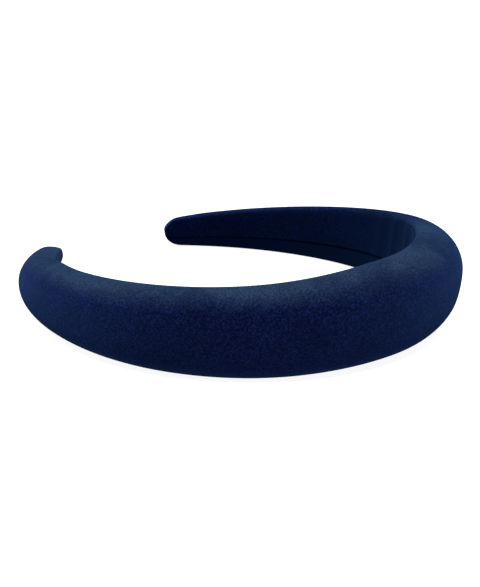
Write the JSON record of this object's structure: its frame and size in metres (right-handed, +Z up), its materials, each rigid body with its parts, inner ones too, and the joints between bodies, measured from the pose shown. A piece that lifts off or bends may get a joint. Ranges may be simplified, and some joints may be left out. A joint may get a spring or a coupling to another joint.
{
  "type": "padded headband",
  "caption": "Wide padded velvet headband, an open hoop that tapers from the crown to two blunt tips, with a velvet strip along its inner face.",
  "frame": {"origin": "middle of the underside of the band's box, on the surface that the band lies on", "axes": "+Z up from the surface, along the band's height; +Y from the crown towards the opening between the tips; +X across the band"},
  "size_m": [0.158, 0.1634, 0.0331],
  "materials": {
    "velvet": "short-pile navy velvet",
    "lining_velvet": "short-pile navy velvet, in shade"
  },
  "bodies": {
    "root": {"padded_cover": "velvet", "inner_lining": "lining_velvet"}
  },
  "joints": []
}
